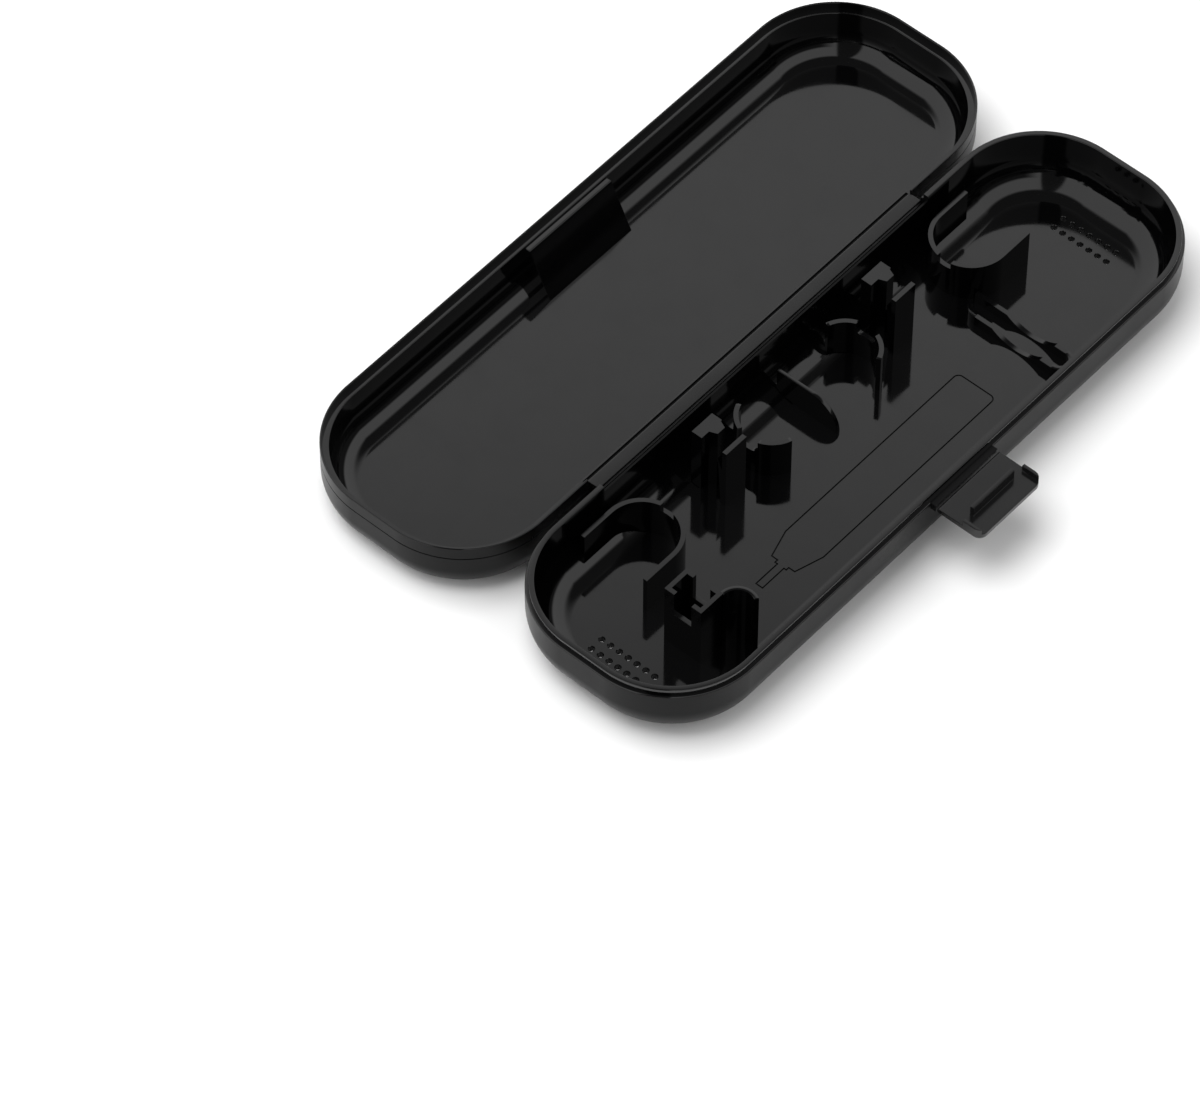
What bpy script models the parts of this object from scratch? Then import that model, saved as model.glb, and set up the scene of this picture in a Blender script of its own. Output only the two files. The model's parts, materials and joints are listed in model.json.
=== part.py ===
# Travel case for an electric toothbrush, modelled open and lying flat.
# Run it with: blender --background --python part.py
#
# The case is two shallow trays. The base lies at the origin, the lid lies beside it on its
# outer face, and a flat strip with a fold line along each edge joins them. A flap on the
# base snaps over the lid. Inside the base, thin walls hold two brush heads and the neck of
# the brush. Units are metres, +Z is up, and the origin is the centre of the underside.

import math

import bmesh
import bpy
from mathutils import Matrix, Vector

# Overall sizes of the case
CASE_LENGTH = 0.220
CASE_WIDTH = 0.068
BASE_HEIGHT = 0.019
LID_HEIGHT = 0.019
CORNER_RADIUS = 0.0272
BASE_FILLET = 0.0115
LID_FILLET = 0.0095
FLOOR = 0.0020

# Rim: the lid's lip closes round a tongue on the base
FIT_GAP = 0.0003
LIP = 0.0006
TONGUE = 0.0016
TONGUE_RISE = 0.0018
REBATE_SPARE = 0.0003
WALL = LIP + FIT_GAP + TONGUE
RIM_Z = BASE_HEIGHT - FIT_GAP / 2
LID_RIM_Z = LID_HEIGHT - FIT_GAP / 2
REBATE_DEPTH = TONGUE_RISE + REBATE_SPARE

# Fold strip between the trays
STRIP_LENGTH = 0.1295
FOLD_THICKNESS = 0.0008
STRIP_CROWN = 0.00103
STRIP_SHOULDER = 0.0002
FOLD_SPACING = 0.0042
FOLD_INSET = 0.00055
FOLD_Y = CASE_WIDTH / 2 - FOLD_INSET
FOLD_Z = BASE_HEIGHT - FOLD_SPACING / 2
LID_FOLD_Y = FOLD_Y + FOLD_SPACING
LID_Y = 2 * FOLD_Y + FOLD_SPACING
STRIP_SWING = math.hypot(STRIP_SHOULDER, STRIP_CROWN)
RECESS_DEPTH = FOLD_INSET + STRIP_SWING + FIT_GAP
RECESS_Z = FOLD_Z - FOLD_THICKNESS / 2 - FIT_GAP

# Line that runs round the lid above its rim
BELT_FROM_RIM = 0.0043
BELT_WIDTH = 0.0004
BELT_DEPTH = 0.00025

# Inlay panel in the lid's outer face
PANEL_BORDER = 0.0130
PANEL_THICKNESS = 0.0006
PANEL_SET_BACK = 0.00015

# Latch flap on the base, and the shelf that it folds on
FLAP_LENGTH = 0.0250
FLAP_REACH = 0.0139
FLAP_THICKNESS = 0.0015
FLAP_CORNER = 0.0025
FLAP_AXIS_OUT = 0.0027
FLAP_DROP = 0.0005
SHELF_THICKNESS = 0.0022
HOOK_LENGTH = 0.0166
HOOK_THICKNESS = 0.0012
HOOK_RISE = 0.0031
HOOK_FROM_AXIS = 0.0067
LIP_RISE = 0.0018
LIP_THICKNESS = 0.0010
LIP_LENGTH = 0.0062
FLAP_AXIS_Y = -CASE_WIDTH / 2 - FLAP_AXIS_OUT
FLAP_AXIS_Z = RIM_Z - FLAP_DROP - FLAP_THICKNESS / 2

# Scoop in the lid's wall, whose lower edge the flap's hook holds
SCOOP_LENGTH = 0.0300
SCOOP_WALL = 0.0014
SCOOP_FLOOR_IN = 0.0118
SCOOP_RIM_IN = 0.0045
CATCH_FROM_FOLD = HOOK_FROM_AXIS - FIT_GAP
CATCH_Z = LID_HEIGHT + BASE_HEIGHT - FLAP_AXIS_Z - CATCH_FROM_FOLD

# Air holes through the floor
VENT_RADIUS = 0.00085
VENT_PITCH = 0.0030
VENT_ROW_FROM_END = 0.0143
VENT_ROW_SPACING = 0.0040
VENTS_PER_ROW = 7
DRAIN_X = 0.0284
DRAIN_Y = 0.0234
DRAINS = 3
VENT_SIDES = 8

# Places for two brush heads along the hinge side, measured from the middle of the case
HEAD_AXIS_FROM_EDGE = 0.0164
HEAD_AXIS_Y = CASE_WIDTH / 2 - HEAD_AXIS_FROM_EDGE
RIB = 0.0013
POCKET_TOP = 0.0147

# Ring clips that face each other at the middle
CLIP_X = 0.0150
CLIP_RADIUS = 0.0093
CLIP_SWEEP_DEGREES = 73
CLIP_NOTCH = 0.0065
CLIP_NOTCH_DEPTH = 0.0040
CLIP_NOTCH_ROUND = 0.0016

# Cradles that hold the stems of the brush heads
CRADLE_FROM_CLIP = 0.0190
CRADLE_X = CLIP_X + CRADLE_FROM_CLIP
CRADLE_TOP = 0.0233
CRADLE_WIDTH = 0.0080
FRONT_DEPTH = 0.0020
FRONT_BAR = 0.0014
NUB_OUT = 0.0015
NUB_HEIGHT = 0.0038
BACK_BAR = 0.0034
STEM_GAP = 0.0042
STEM_DIP = 0.0016
LEG_DEPTH = 0.0022
LEG_WIDTH = 0.0046
LEG_TIP_WIDTH = 0.0028
LEG_OFFSET = 0.0012
WEB_TOP = 0.0095
CRADLE_Y = HEAD_AXIS_Y - STEM_GAP / 2

# Pockets for the two heads
POCKET_FROM_CRADLE = 0.0323
POCKET_X = CRADLE_X + POCKET_FROM_CRADLE
POCKET_RADIUS = 0.01065
POCKET_ARM = 0.0110
STEM_SLOT = 0.0045
STEM_SLOT_SILL = 0.0125

# Rounded rib across the middle
MIDDLE_RIB_TOP = 0.0113
MIDDLE_RIB_THICKNESS = 0.0012
MIDDLE_RIB_REACH = 0.0105
MIDDLE_RIB_ROUND = 0.0090

# Slotted bracket for the neck of the brush, and the wall that braces it
BRACKET_X = -0.0767
BRACKET_Y = -0.0089
BRACKET_LENGTH = 0.0086
BRACKET_WIDTH = 0.0123
BRACKET_TOP = 0.0233
BRACKET_SLOT = 0.0058
BRACKET_SLOT_SILL = 0.0150
BRACE_TOP = 0.0225
BRACE_RADIUS = 0.0052
BRACE_END_DEGREES = -30

# Low hairpin rib for the foot of the handle, its top hollowed to the handle's round
HAIRPIN_X = 0.0553
HAIRPIN_BEND_FROM_EDGE = 0.0118
HAIRPIN_BEND_Y = HAIRPIN_BEND_FROM_EDGE - CASE_WIDTH / 2
HAIRPIN_HALF_WIDTH = 0.0031
HAIRPIN_TOP = 0.0053
HAIRPIN_HOOK_Y = 0.0035
HAIRPIN_HOOK_RADIUS = 0.0045
HAIRPIN_HOOK_DEGREES = 60
HANDLE_RADIUS = 0.0135
HANDLE_Y = -0.0105
HANDLE_LOW = 0.0029

# How finely round shapes are cut, and how far cutters run past what they cut
CORNER_STEPS = 12
FILLET_STEPS = 5
ARC_STEPS = 12
SMALL_ARC_STEPS = 5
OVERRUN = 0.0020
SMOOTH_DEGREES = 40
FLAT_DEGREES = 0.5


def clear_scene():
    for item in list(bpy.context.scene.objects):
        bpy.data.objects.remove(item, do_unlink=True)


def new_collection(name):
    group = bpy.data.collections.new(name)
    bpy.context.scene.collection.children.link(group)
    return group


def new_material(name, colour, roughness, metallic=0.0):
    finish = bpy.data.materials.new(name)
    finish.use_nodes = True
    shader = finish.node_tree.nodes["Principled BSDF"]
    shader.inputs["Base Color"].default_value = (*colour, 1.0)
    shader.inputs["Roughness"].default_value = roughness
    shader.inputs["Metallic"].default_value = metallic
    return finish


def add_part(name, mesh, finish, origin=(0, 0, 0)):
    """Links a mesh made in world space, with its origin moved to a joint where it has one."""
    mesh.transform(Matrix.Translation(-Vector(origin)))
    mesh.materials.append(finish)
    mesh.shade_smooth()
    mesh.set_sharp_from_angle(angle=math.radians(SMOOTH_DEGREES))
    item = bpy.data.objects.new(name, mesh)
    item.location = origin
    PARTS.objects.link(item)
    return item


def add_cutter(name, mesh):
    item = bpy.data.objects.new(name, mesh)
    item.hide_render = True
    item.display_type = "WIRE"
    CUTTERS.objects.link(item)
    return item


def boolean(item, cutter, operation="DIFFERENCE"):
    step = item.modifiers.new(operation.lower() + "_" + cutter.name, "BOOLEAN")
    step.operation = operation
    step.solver = "EXACT"
    step.object = cutter
    return item


def box_mesh(name, low, high):
    bm = bmesh.new()
    bmesh.ops.create_cube(bm, size=1.0)
    low, high = Vector(low), Vector(high)
    bmesh.ops.scale(bm, vec=high - low, verts=bm.verts)
    bmesh.ops.translate(bm, vec=(high + low) / 2, verts=bm.verts)
    mesh = bpy.data.meshes.new(name)
    bm.to_mesh(mesh)
    bm.free()
    return mesh


def round_edges(bm, edges, radius, steps):
    bmesh.ops.bevel(bm, geom=edges, offset=radius, offset_type="OFFSET", segments=steps,
                    profile=0.5, affect="EDGES", clamp_overlap=False, material=-1)


def tray_mesh(name, inset, low_z, high_z, centre_y=0.0, fillet=0.0):
    """A block with the case's plan outline drawn in by an inset, its lower edge rounded."""
    size = Vector((CASE_LENGTH - 2 * inset, CASE_WIDTH - 2 * inset, high_z - low_z))
    bm = bmesh.new()
    bmesh.ops.create_cube(bm, size=1.0)
    bmesh.ops.scale(bm, vec=size, verts=bm.verts)
    corners = [edge for edge in bm.edges if abs(edge.verts[0].co.z - edge.verts[1].co.z) > size.z / 2]
    round_edges(bm, corners, CORNER_RADIUS - inset, CORNER_STEPS)
    if fillet > 0:
        lower = [edge for edge in bm.edges if all(vert.co.z < 0 for vert in edge.verts)]
        round_edges(bm, lower, fillet, FILLET_STEPS)
    bmesh.ops.translate(bm, vec=(0, centre_y, (low_z + high_z) / 2), verts=bm.verts)
    bmesh.ops.recalc_face_normals(bm, faces=bm.faces)
    mesh = bpy.data.meshes.new(name)
    bm.to_mesh(mesh)
    bm.free()
    return mesh


def ring_cutter(name, outer_inset, inner_inset, low_z, high_z, centre_y=0.0):
    """A band that follows the case's outline between two insets."""
    ring = add_cutter(name, tray_mesh(name, outer_inset, low_z, high_z, centre_y))
    core = add_cutter(name + "_core", tray_mesh(name + "_core", inner_inset, low_z - OVERRUN,
                                                high_z + OVERRUN, centre_y))
    return boolean(ring, core)


def arc(centre, radius, start_degrees, end_degrees, steps=ARC_STEPS):
    points = []
    for step in range(steps + 1):
        angle = math.radians(start_degrees + (end_degrees - start_degrees) * step / steps)
        points.append((centre[0] + radius * math.cos(angle), centre[1] + radius * math.sin(angle)))
    return points


def upright_wall(name, path, thickness, top, finish):
    """A thin wall that stands on the floor along a path and is trimmed by the base's inside."""
    bm = bmesh.new()
    verts = [bm.verts.new((x, y, 0)) for x, y in path]
    edges = [bm.edges.new(pair) for pair in zip(verts, verts[1:])]
    raised = bmesh.ops.extrude_edge_only(bm, edges=edges)["geom"]
    raised = [vert for vert in raised if isinstance(vert, bmesh.types.BMVert)]
    bmesh.ops.translate(bm, vec=(0, 0, top), verts=raised)
    mesh = bpy.data.meshes.new(name)
    bm.to_mesh(mesh)
    bm.free()
    item = add_part(name, mesh, finish)
    wall = item.modifiers.new("thickness", "SOLIDIFY")
    wall.thickness = thickness
    wall.offset = 0.0
    wall.use_even_offset = True
    return boolean(item, BASE_SPACE, "INTERSECT")


def prism_mesh(name, outline, thickness):
    """A flat outline in the XY plane, given thickness along Z about the plane."""
    curve = bpy.data.curves.new(name, "CURVE")
    curve.dimensions = "2D"
    curve.fill_mode = "BOTH"
    curve.extrude = thickness / 2
    spline = curve.splines.new("POLY")
    spline.points.add(len(outline) - 1)
    for point, (x, y) in zip(spline.points, outline):
        point.co = (x, y, 0, 1)
    spline.use_cyclic_u = True
    guide = bpy.data.objects.new(name, curve)
    CUTTERS.objects.link(guide)
    mesh = bpy.data.meshes.new_from_object(guide.evaluated_get(bpy.context.evaluated_depsgraph_get()))
    bpy.data.objects.remove(guide, do_unlink=True)
    bpy.data.curves.remove(curve)
    bm = bmesh.new()
    bm.from_mesh(mesh)
    bmesh.ops.remove_doubles(bm, verts=bm.verts, dist=FIT_GAP / 100)
    bmesh.ops.dissolve_limit(bm, angle_limit=math.radians(FLAT_DEGREES), verts=bm.verts, edges=bm.edges)
    bmesh.ops.recalc_face_normals(bm, faces=bm.faces)
    bm.to_mesh(mesh)
    bm.free()
    mesh.name = name
    return mesh


def across(mesh, x=0.0):
    """Turns a prism so that its outline's X and Y become the case's Y and Z."""
    turn = Matrix(((0, 0, 1, 0), (1, 0, 0, 0), (0, 1, 0, 0), (0, 0, 0, 1)))
    mesh.transform(Matrix.Translation((x, 0, 0)) @ turn)
    return mesh


def vent_cutter():
    """All air holes as one cutter: two rows at each end, and three drains by a cradle."""
    bm = bmesh.new()
    middle = (VENTS_PER_ROW - 1) / 2
    places = []
    for end in (-1, 1):
        for row in range(2):
            x = end * (CASE_LENGTH / 2 - VENT_ROW_FROM_END - row * VENT_ROW_SPACING)
            places += [(x, (hole - middle) * VENT_PITCH) for hole in range(VENTS_PER_ROW)]
    places += [(DRAIN_X, DRAIN_Y + (hole - (DRAINS - 1) / 2) * VENT_PITCH) for hole in range(DRAINS)]
    for x, y in places:
        turn = Matrix.Translation((x, y, FLOOR / 2)) @ Matrix.Rotation(math.pi / VENT_SIDES, 4, "Z")
        bmesh.ops.create_cone(bm, cap_ends=True, segments=VENT_SIDES, radius1=VENT_RADIUS,
                              radius2=VENT_RADIUS, depth=FLOOR + 2 * OVERRUN, matrix=turn)
    mesh = bpy.data.meshes.new("vent_holes")
    bm.to_mesh(mesh)
    bm.free()
    return add_cutter("vent_holes", mesh)


def fold_recess(name, wall_y, inward, depth, bottom):
    """Clears a tray's wall along the fold strip, on the side that the sign of inward points to."""
    half = STRIP_LENGTH / 2 + FIT_GAP
    ends = sorted((wall_y + inward * depth, wall_y - inward * OVERRUN))
    top = BASE_HEIGHT + TONGUE_RISE + OVERRUN
    return add_cutter(name, box_mesh(name, (-half, ends[0], bottom), (half, ends[1], top)))


def make_base(finish):
    top = RIM_Z + TONGUE_RISE
    base = add_part("base_shell", tray_mesh("base_shell", 0.0, 0.0, top, fillet=BASE_FILLET), finish)
    shelf_end = FLAP_AXIS_Y + FLAP_THICKNESS / 2 + FIT_GAP
    half = FLAP_LENGTH / 2
    shelf = box_mesh("latch_shelf", (-half, shelf_end, RIM_Z - SHELF_THICKNESS),
                     (half, -CASE_WIDTH / 2 + WALL / 2, RIM_Z))
    boolean(base, add_cutter("latch_shelf", shelf), "UNION")
    cavity = tray_mesh("base_cavity", WALL, FLOOR, top + OVERRUN, fillet=BASE_FILLET - WALL)
    boolean(base, add_cutter("base_cavity", cavity))
    boolean(base, ring_cutter("base_ledge", -OVERRUN - FLAP_AXIS_OUT, LIP + FIT_GAP, RIM_Z, top + OVERRUN))
    boolean(base, fold_recess("base_fold_recess", CASE_WIDTH / 2, -1, RECESS_DEPTH, RECESS_Z))
    boolean(base, fold_recess("base_tongue_gap", CASE_WIDTH / 2, -1, WALL + OVERRUN, RIM_Z))
    boolean(base, vent_cutter())
    return base


def scoop_profile(offset):
    """The scoop's slanted back wall as points (Y, Z), moved outward by an offset."""
    outer = LID_Y + CASE_WIDTH / 2
    low = (outer - SCOOP_FLOOR_IN + offset, FLOOR)
    high = (outer - SCOOP_RIM_IN + offset, LID_RIM_Z - REBATE_DEPTH)
    return low, high


def on_line(low, high, z):
    return low[0] + (high[0] - low[0]) * (z - low[1]) / (high[1] - low[1])


def make_lid(finish):
    lid = add_part("lid_shell", tray_mesh("lid_shell", 0.0, 0.0, LID_RIM_Z, LID_Y, LID_FILLET), finish,
                   origin=(0, LID_FOLD_Y, FOLD_Z))
    outer = LID_Y + CASE_WIDTH / 2
    cavity = add_cutter("lid_cavity", tray_mesh("lid_cavity", WALL, FLOOR, LID_RIM_Z + OVERRUN, LID_Y,
                                                LID_FILLET - WALL))
    low, high = scoop_profile(0.0)
    below, above = -OVERRUN, LID_RIM_Z + 2 * OVERRUN
    block = [(on_line(low, high, below), below), (outer, below), (outer, high[1]), high]
    block = across(prism_mesh("scoop_block", block, SCOOP_LENGTH + 2 * SCOOP_WALL))
    boolean(cavity, add_cutter("scoop_block", block))
    boolean(lid, cavity)
    low, high = scoop_profile(SCOOP_WALL)
    hollow = [(on_line(low, high, below), below), (outer + OVERRUN, below), (outer + OVERRUN, CATCH_Z),
              (on_line(low, high, CATCH_Z), CATCH_Z)]
    boolean(lid, add_cutter("scoop_hollow", across(prism_mesh("scoop_hollow", hollow, SCOOP_LENGTH))))
    rebate = tray_mesh("lid_rebate", LIP, LID_RIM_Z - REBATE_DEPTH, above, LID_Y)
    boolean(lid, add_cutter("lid_rebate", rebate))
    boolean(lid, fold_recess("lid_fold_recess", LID_Y - CASE_WIDTH / 2, 1, RECESS_DEPTH, RECESS_Z))
    belt = LID_HEIGHT - BELT_FROM_RIM
    boolean(lid, ring_cutter("lid_belt_line", -OVERRUN, BELT_DEPTH, belt - BELT_WIDTH / 2,
                             belt + BELT_WIDTH / 2, LID_Y))
    seat = tray_mesh("panel_seat", PANEL_BORDER, -OVERRUN, PANEL_SET_BACK + PANEL_THICKNESS + FIT_GAP, LID_Y)
    boolean(lid, add_cutter("panel_seat", seat))
    return lid


def make_panel(finish):
    mesh = tray_mesh("lid_inlay_panel", PANEL_BORDER + FIT_GAP, PANEL_SET_BACK,
                     PANEL_SET_BACK + PANEL_THICKNESS, LID_Y)
    return add_part("lid_inlay_panel", mesh, finish, origin=(0, LID_FOLD_Y, FOLD_Z))


def make_strip(finish):
    """A raised strip between two thin edges, each rounded about its fold line."""
    radius = FOLD_THICKNESS / 2
    shoulders = (LID_FOLD_Y - STRIP_SHOULDER, FOLD_Y + STRIP_SHOULDER)
    outline = arc((FOLD_Y, FOLD_Z), radius, 90, 270, SMALL_ARC_STEPS)
    outline += arc((LID_FOLD_Y, FOLD_Z), radius, -90, 90, SMALL_ARC_STEPS)
    outline += [(shoulders[0], FOLD_Z + radius), (shoulders[0], FOLD_Z + STRIP_CROWN)]
    outline += [(shoulders[1], FOLD_Z + STRIP_CROWN), (shoulders[1], FOLD_Z + radius)]
    mesh = across(prism_mesh("hinge_strip", outline, STRIP_LENGTH))
    return add_part("hinge_strip", mesh, finish, origin=(0, FOLD_Y, FOLD_Z))


def make_flap(finish):
    """The latch flap: a plate with a round root, a hook along it and a raised lip at each end."""
    axis = Vector((0, FLAP_AXIS_Y, FLAP_AXIS_Z))
    radius = FLAP_THICKNESS / 2
    half = FLAP_LENGTH / 2
    edge = -FLAP_REACH
    side = arc((0, 0), radius, -90, 90, SMALL_ARC_STEPS) + [(edge, radius), (edge, -radius)]
    flap = add_part("latch_flap", across(prism_mesh("latch_flap", side, FLAP_LENGTH)), finish)
    flap.location = axis
    lip_back = edge + LIP_LENGTH
    for name, x in (("near_flap_lip", -half), ("far_flap_lip", half - LIP_THICKNESS)):
        lip = box_mesh(name, (x, edge, 0), (x + LIP_THICKNESS, lip_back, radius + LIP_RISE))
        add_cutter(name, lip).location = axis
        boolean(flap, bpy.data.objects[name], "UNION")
    hook = box_mesh("flap_hook", (-HOOK_LENGTH / 2, -HOOK_FROM_AXIS - HOOK_THICKNESS, 0),
                    (HOOK_LENGTH / 2, -HOOK_FROM_AXIS, radius + HOOK_RISE))
    add_cutter("flap_hook", hook).location = axis
    boolean(flap, bpy.data.objects["flap_hook"], "UNION")
    plan = [(-half, radius + OVERRUN), (-half, edge + FLAP_CORNER)]
    plan += arc((-half + FLAP_CORNER, edge + FLAP_CORNER), FLAP_CORNER, 180, 270, SMALL_ARC_STEPS)
    plan += arc((half - FLAP_CORNER, edge + FLAP_CORNER), FLAP_CORNER, 270, 360, SMALL_ARC_STEPS)
    plan += [(half, radius + OVERRUN)]
    depth = 2 * (radius + LIP_RISE + HOOK_RISE)
    add_cutter("flap_outline", prism_mesh("flap_outline", plan, depth)).location = axis
    boolean(flap, bpy.data.objects["flap_outline"], "INTERSECT")
    return flap


def make_head_pocket(name, end, finish):
    """A U-shaped wall for a brush head, open towards its end of the case."""
    x = end * POCKET_X
    mouth = x + end * POCKET_ARM
    turn = arc((x, HEAD_AXIS_Y), POCKET_RADIUS, 90, 90 + end * 180)
    path = [(mouth, HEAD_AXIS_Y + POCKET_RADIUS), *turn, (mouth, HEAD_AXIS_Y - POCKET_RADIUS)]
    pocket = upright_wall(name, path, RIB, POCKET_TOP, finish)
    nose = x - end * POCKET_RADIUS
    slot = box_mesh(name + "_slot", (nose - RIB - OVERRUN, HEAD_AXIS_Y - STEM_SLOT / 2, STEM_SLOT_SILL),
                    (nose + RIB + OVERRUN, HEAD_AXIS_Y + STEM_SLOT / 2, POCKET_TOP + OVERRUN))
    return boolean(pocket, add_cutter(name + "_slot", slot))


def make_stem_cradle(name, end, finish):
    """Two posts with a low web between them; the stem of a brush head snaps in past a nub."""
    x = end * CRADLE_X
    front = CRADLE_Y - FRONT_DEPTH
    face = front + FRONT_BAR
    back = CRADLE_Y + STEM_GAP + LEG_DEPTH
    half = CRADLE_WIDTH / 2
    leg = LEG_OFFSET + x
    cradle = add_part(name, box_mesh(name, (x - half, back, 0), (x + half, back + BACK_BAR, CRADLE_TOP)), finish)
    outline = [(leg - LEG_WIDTH / 2, back + BACK_BAR / 2), (leg - LEG_WIDTH / 2, back),
               (leg - LEG_TIP_WIDTH / 2, back - LEG_DEPTH), (leg + LEG_TIP_WIDTH / 2, back - LEG_DEPTH),
               (leg + LEG_WIDTH / 2, back), (leg + LEG_WIDTH / 2, back + BACK_BAR / 2)]
    mesh = prism_mesh(name + "_leg", outline, CRADLE_TOP)
    mesh.transform(Matrix.Translation((0, 0, CRADLE_TOP / 2)))
    boolean(cradle, add_cutter(name + "_leg", mesh), "UNION")
    profile = [(front, 0), (face, 0), (face, CRADLE_TOP - 2 * NUB_HEIGHT), (face + NUB_OUT, CRADLE_TOP - NUB_HEIGHT),
               (face, CRADLE_TOP), (front, CRADLE_TOP)]
    post = across(prism_mesh(name + "_post", profile, CRADLE_WIDTH), x)
    boolean(cradle, add_cutter(name + "_post", post), "UNION")
    dip = arc((CRADLE_Y + STEM_GAP / 2, WEB_TOP), STEM_DIP, 180, 360)
    side = [(face - FRONT_BAR / 2, FLOOR / 2), (face - FRONT_BAR / 2, WEB_TOP), *dip,
            (back - LEG_DEPTH / 2, WEB_TOP), (back - LEG_DEPTH / 2, FLOOR / 2)]
    web = across(prism_mesh(name + "_web", side, RIB), leg)
    boolean(cradle, add_cutter(name + "_web", web), "UNION")
    return boolean(cradle, BASE_SPACE, "INTERSECT")


def make_ring_clip(name, end, finish):
    """A curved wall open towards the middle, with a round notch in its top edge."""
    x = end * CLIP_X
    path = arc((x, HEAD_AXIS_Y), end * CLIP_RADIUS, -CLIP_SWEEP_DEGREES, CLIP_SWEEP_DEGREES)
    clip = upright_wall(name, path, RIB, POCKET_TOP, finish)
    wall_x = x + end * CLIP_RADIUS
    low_y = HEAD_AXIS_Y - CLIP_NOTCH / 2
    high_y = HEAD_AXIS_Y + CLIP_NOTCH / 2
    centre_z = POCKET_TOP - CLIP_NOTCH_DEPTH + CLIP_NOTCH_ROUND
    outline = [(low_y, POCKET_TOP + OVERRUN)]
    outline += arc((low_y + CLIP_NOTCH_ROUND, centre_z), CLIP_NOTCH_ROUND, 180, 270, SMALL_ARC_STEPS)
    outline += arc((high_y - CLIP_NOTCH_ROUND, centre_z), CLIP_NOTCH_ROUND, 270, 360, SMALL_ARC_STEPS)
    outline += [(high_y, POCKET_TOP + OVERRUN)]
    notch = across(prism_mesh(name + "_notch", outline, 2 * (RIB + OVERRUN)), wall_x)
    return boolean(clip, add_cutter(name + "_notch", notch))


def make_middle_rib(finish):
    """A thin plate across the case, rounded towards the latch."""
    low = HEAD_AXIS_Y - MIDDLE_RIB_REACH
    high = HEAD_AXIS_Y + MIDDLE_RIB_REACH
    centre = (low + MIDDLE_RIB_ROUND, MIDDLE_RIB_TOP - MIDDLE_RIB_ROUND)
    outline = [(low, 0), *arc(centre, MIDDLE_RIB_ROUND, 180, 90), (high, MIDDLE_RIB_TOP), (high, 0)]
    rib = add_part("middle_rib", across(prism_mesh("middle_rib", outline, MIDDLE_RIB_THICKNESS)), finish)
    return boolean(rib, BASE_SPACE, "INTERSECT")


def make_neck_bracket(finish):
    """A small open box, slotted from end to end, that takes the neck of the brush."""
    half = Vector((BRACKET_LENGTH / 2, BRACKET_WIDTH / 2, 0))
    centre = Vector((BRACKET_X, BRACKET_Y, 0))
    inner = half - Vector((RIB, RIB, 0))
    top = Vector((0, 0, BRACKET_TOP))
    over = Vector((0, 0, OVERRUN))
    bracket = add_part("neck_bracket", box_mesh("neck_bracket", centre - half, centre + half + top), finish)
    core = box_mesh("bracket_core", centre - inner - over, centre + inner + top + over)
    boolean(bracket, add_cutter("bracket_core", core))
    slot_low = centre + Vector((-BRACKET_LENGTH, -BRACKET_SLOT / 2, BRACKET_SLOT_SILL))
    slot_high = centre + Vector((BRACKET_LENGTH, BRACKET_SLOT / 2, BRACKET_TOP + OVERRUN))
    boolean(bracket, add_cutter("bracket_slot", box_mesh("bracket_slot", slot_low, slot_high)))
    return boolean(bracket, BASE_SPACE, "INTERSECT")


def make_neck_brace(finish):
    """The curved wall that goes on from the bracket's side wall and bends towards the latch."""
    x = BRACKET_X + BRACKET_LENGTH / 2 + FIT_GAP
    y = BRACKET_Y - BRACKET_WIDTH / 2 + RIB / 2 - BRACE_RADIUS
    path = arc((x, y), BRACE_RADIUS, 90, BRACE_END_DEGREES)
    return upright_wall("neck_brace", path, RIB, BRACE_TOP, finish)


def make_hairpin(finish):
    """A low rib of two legs: one ends in a hook, the other just short of the far pocket."""
    near = HAIRPIN_X - HAIRPIN_HALF_WIDTH
    far = HAIRPIN_X + HAIRPIN_HALF_WIDTH
    reach = POCKET_RADIUS + RIB / 2 + FIT_GAP
    aside = POCKET_X - far - RIB / 2
    far_end = HEAD_AXIS_Y - math.sqrt(max(0, reach ** 2 - aside ** 2))
    hook = arc((near + HAIRPIN_HOOK_RADIUS, HAIRPIN_HOOK_Y), HAIRPIN_HOOK_RADIUS,
               180 - HAIRPIN_HOOK_DEGREES, 180, SMALL_ARC_STEPS)
    bend = arc((HAIRPIN_X, HAIRPIN_BEND_Y), HAIRPIN_HALF_WIDTH, 180, 360)
    rib = upright_wall("handle_hairpin_rib", [*hook, *bend, (far, far_end)], RIB, HAIRPIN_TOP, finish)
    place = Matrix.Translation((HAIRPIN_X, HANDLE_Y, HANDLE_LOW + HANDLE_RADIUS))
    bm = bmesh.new()
    bmesh.ops.create_cone(bm, cap_ends=True, segments=4 * ARC_STEPS, radius1=HANDLE_RADIUS,
                          radius2=HANDLE_RADIUS, depth=2 * (HAIRPIN_HALF_WIDTH + RIB),
                          matrix=place @ Matrix.Rotation(math.pi / 2, 4, "Y"))
    mesh = bpy.data.meshes.new("handle_round")
    bm.to_mesh(mesh)
    bm.free()
    return boolean(rib, add_cutter("handle_round", mesh))


def make_pivots():
    """Empties that mark the fold lines, with the pieces that turn about them as children."""
    pivots = (("strip_axis", (0, FOLD_Y, FOLD_Z), ("hinge_strip",)),
              ("lid_axis", (0, LID_FOLD_Y, FOLD_Z), ("lid_shell", "lid_inlay_panel")),
              ("latch_axis", (0, FLAP_AXIS_Y, FLAP_AXIS_Z), ("latch_flap",)))
    for name, place, children in pivots:
        pivot = bpy.data.objects.new(name, None)
        pivot.location = place
        PARTS.objects.link(pivot)
        for child in children:
            item = bpy.data.objects[child]
            item.parent = pivot
            item.matrix_parent_inverse = Matrix.Translation(-Vector(place))


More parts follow.
